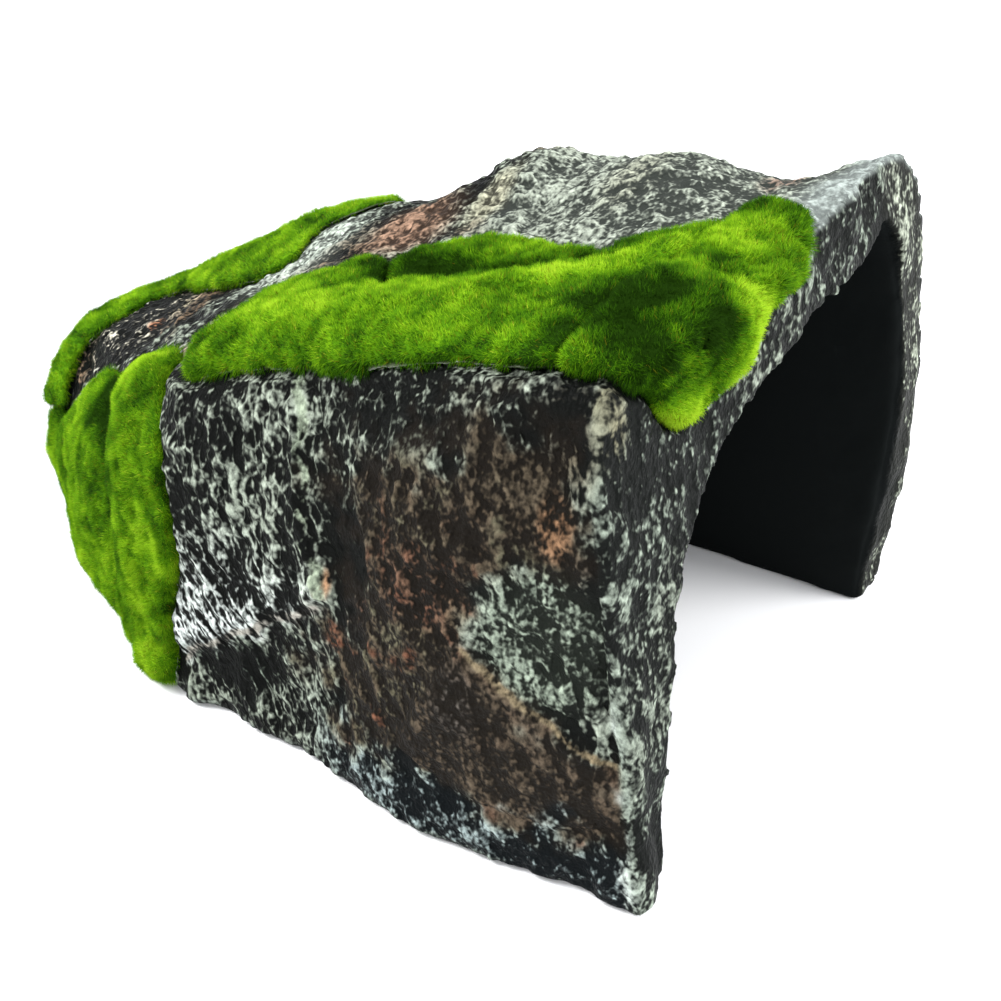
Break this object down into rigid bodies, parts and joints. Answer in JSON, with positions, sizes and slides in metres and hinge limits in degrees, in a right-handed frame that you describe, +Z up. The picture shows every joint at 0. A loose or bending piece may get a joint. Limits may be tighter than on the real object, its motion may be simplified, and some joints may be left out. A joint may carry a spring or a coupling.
{
  "type": "cave ornament",
  "caption": "Hollow rock-look resin cave hide with an arched mouth at one end, a ramp down to the other, and beds of artificial moss on its roof and tail.",
  "frame": {"origin": "middle of the footprint's bounding box, on the plane that the feet stand on", "axes": "+Z up; -Y out of the cave's mouth, +Y to the tail; +X across, towards the side with no moss on its wall"},
  "size_m": [0.111, 0.1862, 0.0895],
  "materials": {
    "painted_resin": "cast resin, matt black paint dry-brushed with grey, brown and pale green",
    "adhesive": "dark green adhesive, slightly glossy where it shows at a bed's edge",
    "moss_flock": "short upright nylon fibres, dull, bright yellow-green"
  },
  "bodies": {
    "root": {"rock_cave_shell": "painted_resin", "glue_roof_roll": "adhesive", "glue_roof_ledge": "adhesive", "glue_front_drape": "adhesive", "glue_tail_edge": "adhesive", "glue_tail_side": "adhesive", "glue_tail_ridge": "adhesive", "moss_roof_roll": "moss_flock", "moss_roof_ledge": "moss_flock", "moss_front_drape": "moss_flock", "moss_tail_edge": "moss_flock", "moss_tail_side": "moss_flock", "moss_tail_ridge": "moss_flock"}
  },
  "joints": []
}
